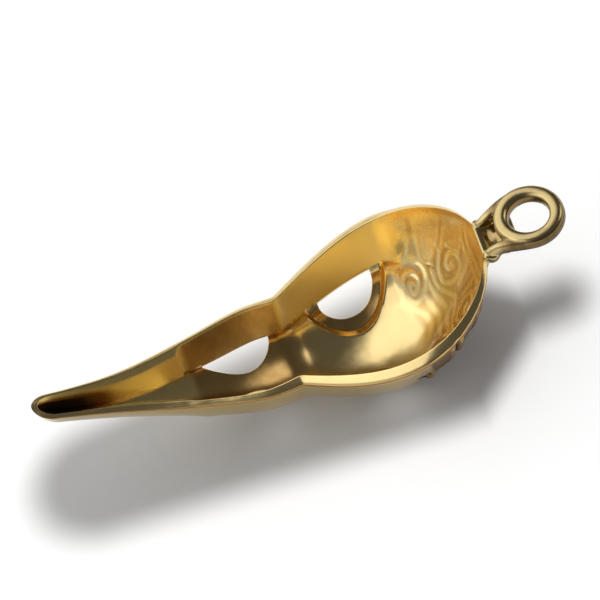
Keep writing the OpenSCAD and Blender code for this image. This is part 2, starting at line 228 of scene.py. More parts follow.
def foot_half(x):
    """Half the width at the foot of the side walls."""
    return half_width(x) - lean(x) * wall_height(x)


def tip_share(x, r):
    """Share of the full section at a distance x behind a round tip."""
    return np.where(x >= r, 1, np.sqrt(np.clip(1 - np.square(1 - x / r), 0, 1)))


def ledge_share(x):
    """Share of the wall's foot that the ledge over the belly takes up."""
    return LEDGE * smooth(X_RIDGE, X_RIDGE + LEDGE_RUN, x) * (1 - smooth(X_WIDE - LEDGE_RUN, X_WIDE, x))


def softly(shape, x, reach):
    """A shape with its crease at the brow rounded over a short run."""
    near = reach * np.exp(-np.square(x / 1.5))
    return np.mean([shape(x + near * o) for o in np.linspace(-1, 1, 9)], axis=0)


def rim_width(x):
    """Width of the rim, which narrows to the tip."""
    beak = BEAK_RIM_W * mix(0.62, 1, smooth(2, 9, x - X_TIP))
    return mix(beak, SKULL_RIM_W, smooth(X_RIDGE, EYE_MID, x))


class Section:
    """Sizes of the outer or inner shell at each station along the length."""

    def __init__(self, x, inner):
        k = tip_share(x - X_TIP, TIP_ROUND)
        fill = 1 + NAPE_FILL * np.square(np.maximum(0, x - X_WIDE) / SKULL_BACK)
        self.x, self.bulge = x, 0 if inner else WALL_BULGE
        if inner:
            x = self.x = x + BELLY_T * (1 - smooth(0, TIP_FILL, x - X_TIP))
            k = tip_share(x - X_TIP - BELLY_T, TIP_ROUND - BELLY_T / 2)
            thin = smooth(X_TIP + 3, X_RIDGE - 1, x)
            nose = smooth(X_RIDGE - 1.2, X_RIDGE, x) * (1 - smooth(-1.5, 0.5, x))
            floor = mix(BELLY_T, NAPE_T, smooth(EYE_MID, X_WIDE, x)) * fill
            self.half = (softly(half_width, x, RIM_SOFT) - rim_width(x) + NOSE_RIM * nose) * k
            self.foot = (softly(foot_half, x, FOOT_SOFT) - mix(TIP_FOOT_T, FOOT_T, thin) - NOSE_FOOT * nose) * k
            self.wall = np.maximum(LEAST_WALL, wall_height(x) - mix(TIP_FOOT_RISE, FOOT_RISE, thin)) * k
            self.depth = (softly(depth, x, KEEL_SOFT) - floor) * k
        else:
            # The wall starts a little outside the plan, so that the rim's sloping edge meets it
            slope = lean(x) * RIM_BEVEL * rim_width(x) * (1 - smooth(0, BOWL_RUN, x - X_WIDE))
            self.half = (half_width(x) + slope) * k
            self.foot = softly(foot_half, x, FOOT_SOFT) * k
            self.wall = wall_height(x) * k
            self.depth = softly(depth, x, KEEL_SOFT) * k
        self.rim = rim_height(self.x)

    def wall_points(self, v):
        """Points on the side wall, with v from 0 at the rim to 1 at its foot."""
        v = np.asarray(v)
        x, half, foot, rim, wall = (c[:, None] for c in (self.x, self.half, self.foot, self.rim, self.wall))
        flat = x + 0 * v, mix(half, foot, v) + self.bulge * wall * np.sin(np.pi * v), rim - v * wall
        return self.round_back(flat, v)

    def belly_points(self, turn):
        """Points on the belly, with the turn in degrees from 0 at the wall's foot to 90 at the keel."""
        t = np.radians(turn)
        x, foot, rim, wall, deep = (c[:, None] for c in (self.x, self.foot, self.rim, self.wall, self.depth))
        flat = x + 0 * t, foot * np.cos(t), rim - wall - (deep - wall) * np.sin(t)
        return self.round_back(flat, 1 + turn / 90)

    def round_back(self, flat, v):
        """Behind its greatest width the skull turns into a round bowl."""
        half, rim, deep = (c[:, None] for c in (self.half, self.rim, self.depth))
        a = np.asarray(v) * np.pi / 4
        y = half * np.power(np.clip(np.cos(a), 0, 1), BOWL_FALL)
        z = rim - deep * np.sin(a)
        k = smooth(0, BOWL_RUN, self.x - X_WIDE)[:, None]
        return np.stack([flat[0], mix(flat[1], y, k), mix(flat[2], z, k)], -1)


def eye_edge(x):
    """Angle of the eye's lower edge, a half moon that is a little square."""
    square = 2.2
    s = np.abs(x - EYE_MID) / (EYE_L / 2)
    return EYE_REACH * np.power(np.maximum(0, 1 - np.power(s, square)), 1 / square)


def nostril_edge(x):
    """Angle of the nostril's lower edge, which is fuller towards its back."""
    towards_back, fullness = 1.25, 0.45
    s = np.clip((x - NOSTRIL_FRONT) / NOSTRIL_L, 0, 1)
    return NOSTRIL_REACH * np.power(np.maximum(0, np.sin(np.pi * np.power(s, towards_back))), fullness)


def hole_edge(x):
    """Angle of the lower edge of the nostril or the eye at each station."""
    return np.where(x < 0, nostril_edge(x), eye_edge(x))


def sink_lip(points, x, turn, start):
    """Sink the lip round an eye, and give how much of the lip each point has."""
    growth = 1 + LIP_W / (EYE_L / 2)
    across = (x[:, None] - EYE_MID) / (EYE_L / 2 * growth)
    down = turn / (EYE_REACH * growth)
    share = (1 - smooth(start, 1, np.hypot(across, down))) * smooth(0, LIP_START, turn)
    t = np.radians(turn)
    way = np.stack([0 * t, -np.cos(t), np.sin(t)], -1)
    return points + way * (LIP_DEPTH * share)[..., None], share


# Scrollwork, as lines of ribs on the back of the skull. Each point is the angle round from the side
# towards the neck and the angle below the rim.
BOWL = np.array([X_WIDE, 0, float(rim_height(np.float64(X_WIDE)))])
BOWL_R = SKULL_W / 2
TONGUES = [
    [(4.5, -2), (4.5, 20), (7, 30), (13, 34.5), (19, 30), (21.5, 20), (21.5, -4)],
    [(29, -4), (29.5, 18), (31, 30), (36, 36.5), (43, 33), (47, 20), (47.5, -6)]]
NECK_VOLUTE = [
    (52.5, -8), (52.5, 12), (52, 24), (54.5, 36), (63, 43.5), (73, 41), (78, 32), (75.5, 21), (68, 16.5),
    (61.5, 21), (61.5, 29), (66, 31.5), (69, 27)]
THIRD_TONGUE = [(69.5, -10), (70, 4), (71, 14), (75, 20)]
LOW_VOLUTE = [
    (-8, 70), (-3, 57), (4, 46), (12, 39), (23, 35.5), (34, 38), (42, 46), (43.5, 56), (37, 64.5), (26, 67.5),
    (15, 64), (11, 56), (15.5, 48), (24, 45.5), (31.5, 49), (32.5, 56), (27, 60.5), (21.5, 58.5), (21, 54)]
NECK_RIBS = [
    [(83.5, -10), (82.5, 8), (83, 22), (84, 34)],
    [(46.5, 41), (54, 47), (66, 50), (80, 47), (92, 42)]]
SWEEPS = [
    [(38, 40), (46, 49), (57, 55), (72, 57.5), (92, 56)],
    [(44, 60), (56, 64.5), (70, 66), (92, 65)],
    [(26, 72.5), (42, 73.5), (60, 74), (92, 74)],
    [(-14, 76), (10, 79.5), (30, 82), (60, 84), (92, 84)]]
# Every rib with its half width in millimetres
RIBS = [(line, 0.36) for line in TONGUES] + [(NECK_VOLUTE, 0.38), (THIRD_TONGUE, 0.36), (LOW_VOLUTE, 0.39)]
RIBS += [(line, 0.38) for line in NECK_RIBS] + [(line, 0.45) for line in SWEEPS]
# Pads inside the tongues and ahead of the third one, as two angles round and the angle below the rim
PADS = [(line[0][0], line[-1][0], max(low for _, low in line)) for line in TONGUES] + [(52.5, 70, 17)]
PAD_HEIGHT = 0.5
# Beads, each with its radius in millimetres
BEADS = [(0.5, 37, 0.42), (24.5, 53.5, 0.45), (66.5, 26, 0.42)]
# Ribs round the foot of the neck, as their radii, with their half width and the reach of both
FOOT_RIBS, FOOT_RIB_W, FOOT_REACH = (2.6, 3.3), 0.36, 3.55
# The groove that runs down ahead of the scrollwork, with its half width
GROOVE_W = 0.32
FRONT_GROOVE = [(-5, 15), (-2.5, 26), (-2, 38), (-5, 52), (-13, 66), (-30, 75), (-60, 79), (-90, 80)]
# Where the scrollwork starts, as the angle below the rim and millimetres behind the greatest width
FRONT_LINE = [
    (-20, 0.5), (14, 0.5), (21, 0), (30, -0.25), (40, -0.2), (52, -0.4), (66, -0.8), (78, -1.2), (90, -1.3)]


def on_bowl(points):
    """Directions on the unit bowl for pairs of angles."""
    a, b = np.radians(np.array(points, float)).T
    return np.stack([np.sin(a) * np.cos(b), np.cos(a) * np.cos(b), -np.sin(b)], -1)


def rib_line(points):
    """A smooth line through a few points, as short steps on the unit bowl."""
    return on_bowl(spline(np.array(points, float), 8))


def distance(way, line):
    """Distance in millimetres from directions on the bowl to a line of steps."""
    best = np.full(len(way), 9.0)  # farther than any point of the bowl
    for a, b in zip(line, line[1:]):
        ab = b - a
        t = np.clip(((way - a) @ ab) / (ab @ ab), 0, 1)
        best = np.minimum(best, np.linalg.norm(way - a - t[:, None] * ab, axis=1))
    return best * BOWL_R


def ridge(d, w):
    """Rounded top of a rib, 1 on its line and 0 past its edge."""
    return np.sqrt(np.clip(1 - np.square(d / w), 0, 1))


def swell(d, w):
    """Soft swelling over a rib, as the inside of the casting shows it."""
    return 1 - smooth(0, 1.25 * w, d)


def relief(points, outside):
    """Shares by which the scrollwork's ground is sunk and darkened, and the way out of the bowl."""
    flat = points.reshape(-1, 3)
    out = flat - BOWL
    way = out / np.linalg.norm(out, axis=1, keepdims=True)
    alpha = np.degrees(np.arctan2(way[:, 0], np.maximum(TINY, way[:, 1])))
    beta = np.degrees(np.arcsin(np.clip(-way[:, 2], -1, 1)))
    shape = ridge if outside else swell
    height = np.zeros(len(flat))
    for start, end, low in PADS:
        height = np.maximum(height, PAD_HEIGHT * ((alpha > start) & (alpha < end) & (beta < low)))
    nearest = np.full(len(flat), 9.0)
    for line, w in RIBS:
        d = distance(way, rib_line(line))
        nearest = np.minimum(nearest, d)
        height = np.maximum(height, shape(d, w))
    for a, b, r in BEADS:
        knob = np.linalg.norm(way - on_bowl([(a, b)]), axis=1) * BOWL_R
        height = np.maximum(height, shape(knob, r))
    # The ground swells between ribs that stand far apart
    height = np.maximum(height, PAD_HEIGHT * smooth(0.5, 0.95, nearest))
    # Two ribs run round the foot of the neck
    reach = np.hypot(flat[:, 1], flat[:, 2] - NECK_RISE)
    neck = (flat[:, 0] > X_WIDE + 4) & (reach < FOOT_REACH)
    height = np.where(neck, np.maximum(*(shape(np.abs(reach - r), FOOT_RIB_W) for r in FOOT_RIBS)), height)
    cover = smooth(0, 0.4, out[:, 0] - curve(FRONT_LINE, beta))
    groove = outside * 0.9 * ridge(distance(way, rib_line(FRONT_GROOVE)), GROOVE_W) * smooth(18, 32, beta)
    below_rim = smooth(0.4, 2.0, rim_height(flat[:, 0]) - flat[:, 2])
    sunk = np.maximum((1 - height) * cover, groove) * below_rim
    dark = np.maximum(np.power(sunk, 0.55), 0.4 * cover)
    return (part.reshape(points.shape[:-1] + part.shape[1:]) for part in (sunk, dark, way))


def carve(points, x, amount, outside=True):
    """Sink the scrollwork's ground into rows of points, and give how dark each point is."""
    tone = np.zeros(points.shape[:-1])
    rows = x > CARVE_START
    share, dark, way = relief(points[rows], outside)
    fade = smooth(0, 0.7, X_NECK - x[rows]) * (1 if outside else smooth(PRINT_START, PRINT_FULL, x[rows]))
    share = share * fade[:, None]
    tone[rows] = dark * fade[:, None]
    moved = points.copy()
    moved[rows] -= way * (amount * share)[..., None]
    return moved, tone


def towards(a, b, length):
    """Point a given length from a towards b, at most just under half of the way."""
    d = b - a
    size = np.maximum(TINY, np.linalg.norm(d, axis=-1))
    return a + d * np.minimum(0.48, length / size)[:, None]


def bow(start, corner, end, t):
    """Points on the curve that leaves start towards a corner and comes to end from it."""
    return (1 - t)**2 * start[:, None] + 2 * t * (1 - t) * corner[:, None] + t**2 * end[:, None]


def fillet(before, corner, after, length, n):
    """Points that round a corner of each section, over a length to both sides of it."""
    t = np.linspace(0, 1, n + 1)[None, :, None]
    return bow(towards(corner, before, length), corner, towards(corner, after, length), t)


def stations():
    """Places of the sections along the length, close together where the shape turns."""
    def waves(a, b, n):
        return mix(a, b, (1 - np.cos(np.linspace(0, np.pi, n + 1))) / 2)

    turn = math.asin((X_NECK - X_WIDE) / SKULL_BACK)
    runs = [
        X_TIP + TIP_ROUND * (1 - np.cos(np.linspace(0, np.pi / 2, 12))),
        np.linspace(X_TIP + TIP_ROUND, X_RIDGE - 1.2, 18),
        np.linspace(X_RIDGE - 1.2, NOSTRIL_FRONT, 22),
        waves(NOSTRIL_FRONT, -NOSTRIL_BACK, 28),
        np.linspace(-NOSTRIL_BACK, -0.1, 6), np.array([0.0]),
        np.linspace(0.1, EYE_FRONT, 24),
        waves(EYE_FRONT, EYE_BACK, 36),
        np.linspace(EYE_BACK, X_WIDE, 12),
        X_WIDE + SKULL_BACK * np.sin(np.linspace(0, turn, 97))]
    x = np.concatenate(runs)
    return x[np.concatenate([[True], np.diff(x) > 1e-6])]


def beak_side(x, outer):
    """Start, corner and end of the curve that rounds the beak's wall into its belly at each station."""
    def on_belly(turn):
        return outer.belly_points(np.full((len(x), 1), turn))[:, 0]

    high, low = outer.wall_points([ROUND_WALL])[:, 0], on_belly(ROUND_BELLY)
    fall = outer.wall_points([ROUND_WALL + 0.01])[:, 0] - high
    slope = low - on_belly(ROUND_BELLY - 1)
    span = low - high
    cross = fall[:, 1] * slope[:, 2] - fall[:, 2] * slope[:, 1]
    reach = (span[:, 1] * slope[:, 2] - span[:, 2] * slope[:, 1]) / np.where(np.abs(cross) < TINY, 1, cross)
    # The corner goes no farther than the curve's end
    drop = np.where(np.abs(fall[:, 1:]) < TINY, -TINY, fall[:, 1:])
    corner = high + fall * np.clip(np.minimum(reach, (span[:, 1:] / drop).min(1)), 0, 1e3)[:, None]
    return high, corner, low


class Skull:
    """One half of the skull as rows of points, each with its tone and its share of the inside's unpolished gold,
    whose colour is a painted reflection of light bouncing inside the hollow.
    """

    def __init__(self, sizes):
        x = self.x = stations()
        self.outer, self.inner = Section(x, False), Section(x, True)
        self.edge = hole_edge(x)
        self.closed = self.edge < SHUT
        self.seams = self.closed[:-1] & self.closed[1:]
        self.groove, self.step = sizes.groove_depth / MM, sizes.ridge_step / MM
        self.print_depth = self.groove * sizes.inside_show
        self.rim_round, self.edge_round = sizes.rim_round / MM, sizes.edge_round / MM
        self.hole_round = self.edge_round * np.clip(self.edge / HOLE_FULL, 0, 1)
        # Ahead of the nostrils the wall rounds into the belly without an edge
        self.side = beak_side(x, self.outer)
        self.rounded = (1 - smooth(X_RIDGE - 2.5, X_RIDGE, x))[:, None, None]
        # Painted shade: the beak's channel is darker towards the tip, and the inside of the nose browner than the
        # bowl
        self.channel = CHANNEL_TONE * (1 - smooth(X_TIP + 3, X_TIP + 8.5, x))[:, None]
        self.nose = smooth(X_RIDGE - 0.9, X_RIDGE, x)[:, None]
        self.wall, self.belly = self.wall_rows(), self.belly_rows()

    def round_beak(self, points, t):
        """Round the beak's side, with t from 0 high on the wall to 1 low on the belly."""
        t = np.clip(t, 0, 1)[..., None]
        return np.where((t > 0) & (t < 1), mix(points, bow(*self.side, t), self.rounded), points)

    def inner_wall(self, v):
        """Points of the inner wall and their tone, with v from 0 at the rim to 1 at its foot."""
        points = self.inner.wall_points(v)
        along = points[..., 0]
        # A low step crosses the inside of the beak just ahead of the nostrils
        at = X_RIDGE - 0.7 - 0.2 * v
        soft = mix(0.7, 0.08, smooth(0.05, 0.3, v))
        ahead = smooth(X_TIP + 1, X_TIP + 9, along) * (1 - smooth(-1, 1, (along - at) / soft))
        points[..., 1] -= self.step * ahead * smooth(0.02, 0.2, v) * np.minimum(1, points[..., 1])
        return carve(points, self.x, self.print_depth * smooth(0.35, 1, v), False)

    def wall_rows(self):
        """Rows of the side wall: over the rim, down the outside, under the foot and up the inside."""
        x, edge_round = self.x, self.edge_round
        # The rim slopes down to its outer edge
        bevel = RIM_BEVEL * rim_width(x) * tip_share(x - X_TIP, TIP_ROUND) / np.maximum(0.3, self.outer.wall)
        down = mix(np.minimum(0.4, bevel)[:, None], 1, np.linspace(0, 1, OUTSIDE_ROWS)[None, :])
        up = np.linspace(1, 0, INSIDE_ROWS)
        outside, out_tone = carve(self.outer.wall_points(down), x, self.groove)
        outside = self.round_beak(outside, (down - ROUND_WALL) / (1 - ROUND_WALL) / 2)
        inside, in_tone = self.inner_wall(up)
        rim_out, foot_out = outside[:, 0], outside[:, -1]
        foot_in, rim_in = inside[:, 0], inside[:, -1]
        ledge = mix(foot_out, foot_in, ledge_share(x)[:, None])
        # Where there is no opening, the belly hangs from these two rows
        self.ledge, self.foot_in = ledge, foot_in
        rim = fillet(rim_in, rim_out, outside[:, 4], self.rim_round, 4)
        foot = fillet(outside[:, -4], foot_out, ledge, edge_round * (ledge_share(x) / LEDGE), 3)
        lip = fillet(ledge, foot_in, inside[:, 3], self.hole_round, 3)
        top = fillet(inside[:, -4], rim_in, rim_out, edge_round, 4)
        rows = [rim, outside[:, 3:-3], foot, ledge[:, None], lip, inside[:, 2:-3], top, rim[:, :1]]
        seam = sum(part.shape[1] for part in rows[:3])

        # Painted shade: the nose's inner walls are browner, most towards the front
        front, back = NOSE_WALL_TONES
        nose = mix(front, back, smooth(X_RIDGE + 1, -1, x))[:, None] * self.nose * (1 - smooth(-0.5, 0.1, x))[:, None]
        in_tone = np.maximum(np.maximum(PRINT_TONE * in_tone, self.channel * smooth(0.1, 0.6, up)), nose)
        plain = np.zeros((len(x), 1))
        # Painted shade darkens the rim towards its outer edge
        tones = [plain + RIM_TONES, out_tone[:, 3:-3], out_tone[:, -1:].repeat(5, 1), in_tone[:, :1].repeat(4, 1),
                 in_tone[:, 2:-3], plain.repeat(6, 1)]
        points = np.concatenate(rows, 1)
        row = np.arange(points.shape[1])
        # The inner walls take the inside gold, a painted reflection of light bouncing inside the hollow, and its lack
        # of polish
        gold = ((row > seam) & (row < len(row) - 5)) * (1 - 0.2 * smooth(9, 11, x))[:, None]
        return points, np.concatenate(tones, 1), gold, seam

    def belly_rows(self):
        """Rows of the belly: up its outside from the keel, over the edge and down its inside."""
        x, edge = self.x, self.edge[:, None]
        # The outer rows end under the ledge, or at the lower edge of an opening
        under = Section(x, False)
        under.foot = mix(self.outer.foot, self.inner.foot, ledge_share(x))
        under.wall = mix(self.outer.wall, self.inner.wall, ledge_share(x))
        turn = mix(edge, 90, np.linspace(1, 0, BELLY_ROWS)[None, :])
        outside, _ = sink_lip(under.belly_points(turn), x, turn, 0.6)
        outside = self.round_beak(outside, 0.5 + turn / ROUND_BELLY / 2)
        outside, out_tone = carve(outside, x, self.groove)
        turn = mix(edge, 90, np.linspace(0, 1, BELLY_ROWS)[None, :])
        inside, eye_lip = sink_lip(self.inner.belly_points(turn), x, turn, 0.9)
        print_depth = self.print_depth * (1 - smooth(22, 58, turn[x > CARVE_START]))
        inside, in_tone = carve(inside, x, print_depth, False)
        out_top, in_top = outside[:, -1], inside[:, 0]
        out_top[self.closed], in_top[self.closed] = self.ledge[self.closed], self.foot_in[self.closed]
        out_edge = fillet(outside[:, -3], out_top, in_top, self.hole_round, 3)
        in_edge = fillet(out_top, in_top, inside[:, 2], self.hole_round, 3)
        rows = [outside[:, :-2], out_edge, in_edge, inside[:, 2:]]
        seam = sum(part.shape[1] for part in rows[:2]) - 1

        # Painted shade: the nose's floor is browner
        nose = NOSE_FLOOR_TONE * self.nose * (1 - smooth(-1, 3.5, x))[:, None]
        # Painted shade: the lip round the eye is browner
        in_tone = np.maximum(PRINT_TONE * in_tone, EYE_LIP_TONE * eye_lip)[:, 2:]
        tones = [out_tone[:, :-2], out_tone[:, -1:].repeat(4, 1), self.channel.repeat(4, 1),
                 np.maximum(in_tone, np.maximum(self.channel, nose))]
        points = np.concatenate(rows, 1)
        # The floor of the bowl is polished, its back and the nose less so; the same share gives them the inside's
        # brighter gold, a painted reflection of light bouncing in the hollow
        dull = 0.45 * (1 - smooth(-3, 2, x)) + 0.85 * smooth(10, 14.5, x)
        gold = (np.arange(points.shape[1]) > seam) * dull[:, None]
        return points, np.concatenate(tones, 1), gold, seam


def deselect():
    """Deselect every object."""
    bpy.ops.object.select_all(action="DESELECT")


def sheet(name, points, dark=None, inside=None):
    """Add a grid and lay its points on the given rows, in millimetres about the brow."""
    deselect()
    count, across = points.shape[:2]
    bpy.ops.mesh.primitive_grid_add(x_subdivisions=across - 1, y_subdivisions=count - 1)
    piece = bpy.context.object
    piece.name = piece.data.name = name
    piece.data.vertices.foreach_set("co", points.reshape(-1))
    for layer, values in (("antique_and_shade", dark), ("inside", inside)):
        tone = piece.data.attributes.new(layer, "FLOAT", "POINT")
        tone.data.foreach_set("value", (np.zeros((count, across)) if values is None else values).reshape(-1))
    return piece


def delete_faces(piece, chosen):
    """Delete the faces whose flags are set."""
    bpy.ops.object.mode_set(mode="EDIT")
    bpy.ops.mesh.select_mode(type="FACE")
    bpy.ops.mesh.select_all(action="DESELECT")
    bpy.ops.object.mode_set(mode="OBJECT")
    piece.data.polygons.foreach_set("select", chosen)
    bpy.ops.object.mode_set(mode="EDIT")
    bpy.ops.mesh.delete(type="FACE")
    bpy.ops.object.mode_set(mode="OBJECT")


def seam_faces(points, row, seams):
    """Flags of the faces in one row gap of a sheet, at the stations where the flag is set."""
    chosen = np.zeros((points.shape[0] - 1, points.shape[1] - 1), bool)
    chosen[seams, row] = True
    return chosen.reshape(-1)


def select(*pieces):
    """Select only these pieces and make the first one active."""
    deselect()
    for piece in pieces:
        piece.select_set(True)
    bpy.context.view_layer.objects.active = pieces[0]


def join(pieces, name):
    """Join pieces into one."""
    select(*pieces)
    bpy.ops.object.join()
    pieces[0].name = pieces[0].data.name = name
    return pieces[0]


def edit_all(*steps):
    """Run edit-mode steps on the whole active mesh."""
    bpy.ops.object.mode_set(mode="EDIT")
    bpy.ops.mesh.select_all(action="SELECT")
    for step, settings in steps:
        step(**settings)
    bpy.ops.object.mode_set(mode="OBJECT")


def close_end():
    """Fill the one open edge of the active mesh, where the shell ends at the neck."""
    bpy.ops.object.mode_set(mode="EDIT")
    bpy.ops.mesh.select_mode(type="EDGE")
    bpy.ops.mesh.select_all(action="DESELECT")
    bpy.ops.mesh.select_non_manifold(extend=False)
    bpy.ops.mesh.fill()
    bpy.ops.object.mode_set(mode="OBJECT")


def apply_modifier(piece, kind, **settings):
    """Add a modifier and apply it."""
    select(piece)
    modifier = piece.modifiers.new(kind.title(), kind)
    for key, value in settings.items():
        setattr(modifier, key, value)
    bpy.ops.object.modifier_apply(modifier=modifier.name)


def to_frame(piece):
    """Move a piece from millimetres about the brow to the frame, in metres."""
    select(piece)
    piece.scale = (MM, MM, MM)
    piece.location = (-X_RING * MM, 0, -RING_RISE * MM)
    bpy.ops.object.transform_apply(location=True, rotation=True, scale=True)
    bpy.ops.object.shade_smooth_by_angle(angle=math.radians(50))


def finish_piece(piece, slot, material, *nodes):
    """Give a piece its material, hang it on the root body, and hide the nodes that it stands for."""
    piece.data.materials.clear()
    piece.data.materials.append(material)
    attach(piece, "root")
    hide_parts(*nodes)


class Value:
    """A socket's value in shader maths."""

    def __init__(self, tree, socket):
        self.tree, self.socket = tree, socket

    def math(self, operation, *others):
        return self.tree.node("ShaderNodeMath", {"operation": operation}, [self, *others])

    def __add__(self, other):
        return self.math("ADD", other)

    def __radd__(self, other):
        return self.math("ADD", other)

    def __sub__(self, other):
        return self.math("SUBTRACT", other)

    def __rsub__(self, other):
        return self.tree.node("ShaderNodeMath", {"operation": "SUBTRACT"}, [other, self])

    def __mul__(self, other):
        return self.math("MULTIPLY", other)

    def __rmul__(self, other):
        return self.math("MULTIPLY", other)

    def power(self, other):
        return self.math("POWER", other)


class Tree:
    """Nodes of a material or the world."""

    def __init__(self, owner):
        owner.use_nodes = True
        self.nodes, self.links = owner.node_tree.nodes, owner.node_tree.links
        self.nodes.clear()

    def node(self, kind, settings=None, values=None, output=0):
        """Add a node with its settings and the values or links of its sockets."""
        made = self.nodes.new(kind)
        for key, value in (settings or {}).items():
            setattr(made, key, value)
        pairs = enumerate(values) if isinstance(values, list) else (values or {}).items()
        for key, value in pairs:
            if isinstance(value, Value):
                self.links.new(value.socket, made.inputs[key])
            elif value is not None:
                made.inputs[key].default_value = value
        return Value(self, made.outputs[output]) if made.outputs else None

    def colour_mix(self, factor, a, b):
        """Mix two colours, each a link or red, green and blue."""
        a, b = (c if isinstance(c, Value) else (*c, 1) for c in (a, b))
        return self.node("ShaderNodeMix", {"data_type": "RGBA"}, {0: factor, 6: a, 7: b}, 2)

    def ramp(self, value, low, high, start=0.0, end=1.0, kind="SMOOTHSTEP"):
        """A value that goes from start to end while another goes from low to high."""
        return self.node("ShaderNodeMapRange", {"interpolation_type": kind}, {
            "Value": value, "From Min": low, "From Max": high, "To Min": start, "To Max": end})

    def place(self):
        """Place on the object."""
        return self.node("ShaderNodeTexCoord", output=3)

    def layer(self, name):
        """Value that each point of the mesh has on a named layer."""
        return self.node("ShaderNodeAttribute", {"attribute_name": name}, output=2)


def gold_plate(name, finish, gold, gold_deep, worn_and_shaded_gold):
    """Gold plating with soft casting waves, a fine grain, dark antiquing in the grooves and painted shade where the
    tone layer asks for it, with the inside in a brighter gold as a painted reflection.
    """
    material = bpy.data.materials.new(name)
    tree = Tree(material)
    place = tree.place()

    def noise(scale, detail, rough=0.5):
        return tree.node("ShaderNodeTexNoise", None, {
            "Vector": place, "Scale": scale, "Detail": detail, "Roughness": rough})

    waves = noise(scale=420, detail=2)
    grain = noise(scale=2600, detail=3)
    patches = noise(scale=900, detail=4, rough=0.6)
    worn_and_shaded = tree.layer("antique_and_shade") + (patches - 0.5) * 0.25
    brown, stain_and_shade = tree.ramp(worn_and_shaded, 0.1, 0.6), tree.ramp(worn_and_shaded, 0.55, 1.0)
    inner = tree.layer("inside")
    # The inside takes its brighter, more orange gold as a painted reflection of light bouncing in the hollow
    shade = tree.colour_mix(inner, tree.colour_mix(patches, gold_deep, gold), finish.inside)
    colour = tree.colour_mix(stain_and_shade, tree.colour_mix(brown, shade, worn_and_shaded_gold), finish.antique_and_shade)
    # The inner walls are left unpolished
    unpolished = inner.power(4.0) * 0.15
    rough = finish.roughness + (patches - 0.5) * 0.12 + stain_and_shade * 0.3 + unpolished
    bump = tree.node("ShaderNodeBump", None, {
        "Height": waves + grain * 0.05, "Strength": 0.35, "Distance": 0.12 * MM})
    shader = tree.node("ShaderNodeBsdfPrincipled", None, {
        "Base Color": colour, "Metallic": 1.0, "Roughness": rough, "Normal": bump})
    tree.node("ShaderNodeOutputMaterial", None, [shader])
    return material


class CharmSizes(bpy.types.PropertyGroup):
    """Sizes of the casting's carved and rounded forms."""

    groove_depth: bpy.props.FloatProperty(
        name="Groove depth", description="Depth of the scrollwork's grooves", default=0.4 * MM, unit="LENGTH")
    inside_show: bpy.props.FloatProperty(
        name="Scrolls inside", description="Share of the scrollwork that shows on the inside", default=0.24,
        subtype="FACTOR")
    rim_round: bpy.props.FloatProperty(
        name="Rim rounding", description="Rounding along the rim's outer edge", default=0.3 * MM, unit="LENGTH")
    edge_round: bpy.props.FloatProperty(
        name="Edge rounding", description="Rounding along the openings", default=0.12 * MM, unit="LENGTH")
    ridge_step: bpy.props.FloatProperty(
        name="Beak step", description="Height of the step inside the beak", default=0.3 * MM, unit="LENGTH")


class CharmFinish(bpy.types.PropertyGroup):
    """Colours and polish of the plating."""

    gold: bpy.props.FloatVectorProperty(
        name="Gold", description="Colour of the plating", default=(0.88, 0.68, 0.33), subtype="COLOR")
    gold_deep: bpy.props.FloatVectorProperty(
        name="Deep gold", description="Colour of the plating's deeper patches", default=(0.79, 0.58, 0.25),
        subtype="COLOR")
    neck: bpy.props.FloatVectorProperty(
        name="Neck gold", description="Colour of the duller plating on the neck and ring",
        default=(0.55, 0.425, 0.195), subtype="COLOR")
    # Besides the neck's rough pit, this colour paints the shade on the ring's sides and in its bore
    neck_worn_and_shaded: bpy.props.FloatVectorProperty(
        name="Worn neck", description="Colour of the neck's pit and of the ring's sides",
        default=(0.31, 0.215, 0.09), subtype="COLOR")
    # This colour also paints the shade inside the nose and on the lip round the eye
    brown: bpy.props.FloatVectorProperty(
        name="Worn gold", description="Colour of the plating in the scrollwork's hollows and inside the nose",
        default=(0.46, 0.24, 0.065), subtype="COLOR")
    # The antiquing colour also paints the dark edge along the rim, the beak's dark channel and the ring's darkened
    # sides and bore as painted shade
    antique_and_shade: bpy.props.FloatVectorProperty(
        name="Antiquing", description="Colour of the antiquing in the grooves", default=(0.035, 0.02, 0.008),
        subtype="COLOR")
    # The inside gold is brighter and more orange than the plating: a painted reflection of light bouncing inside the
    # hollow
    inside: bpy.props.FloatVectorProperty(
        name="Inside gold", description="Colour of the unpolished plating on the inner walls",
        default=(1.0, 0.76, 0.29), subtype="COLOR")
    roughness: bpy.props.FloatProperty(
        name="Roughness", description="Softness of the plating's reflections", default=0.21, subtype="FACTOR")


